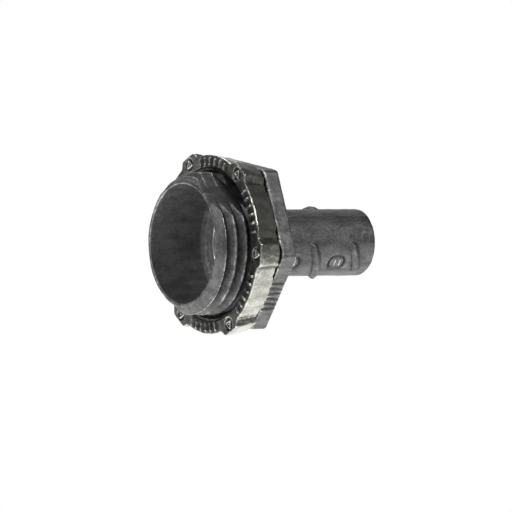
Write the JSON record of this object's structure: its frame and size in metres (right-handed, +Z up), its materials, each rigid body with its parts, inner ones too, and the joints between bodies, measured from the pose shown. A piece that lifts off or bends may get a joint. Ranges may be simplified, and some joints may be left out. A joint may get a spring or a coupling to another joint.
{
  "type": "screw-in conduit connector",
  "caption": "Die-cast screw-in connector for flexible metal conduit: threaded hub, hexagonal flange, barrel with helical lugs, and a lugged locknut.",
  "frame": {"origin": "on the centre line, in the plane of the flange's hub-side face, which the box wall meets", "axes": "+X along the barrel into the conduit, +Z up square to a flat of the hexagon, so a flat faces straight down"},
  "size_m": [0.0305, 0.0278, 0.026],
  "materials": {
    "cast_zinc_body": "die-cast zinc alloy, tumbled and unplated, mid grey with worn bright edges",
    "cast_zinc_locknut": "die-cast zinc alloy, tumbled and unplated, slightly darker grey with worn bright edges"
  },
  "bodies": {
    "connector": {"connector_body": "cast_zinc_body"},
    "locknut": {"locknut": "cast_zinc_locknut"}
  },
  "joints": [
    {"name": "locknut_travel", "type": "slide", "parent": "connector", "child": "locknut", "axis": [-1, 0, 0], "range_m": [0, 0.00907]}
  ]
}
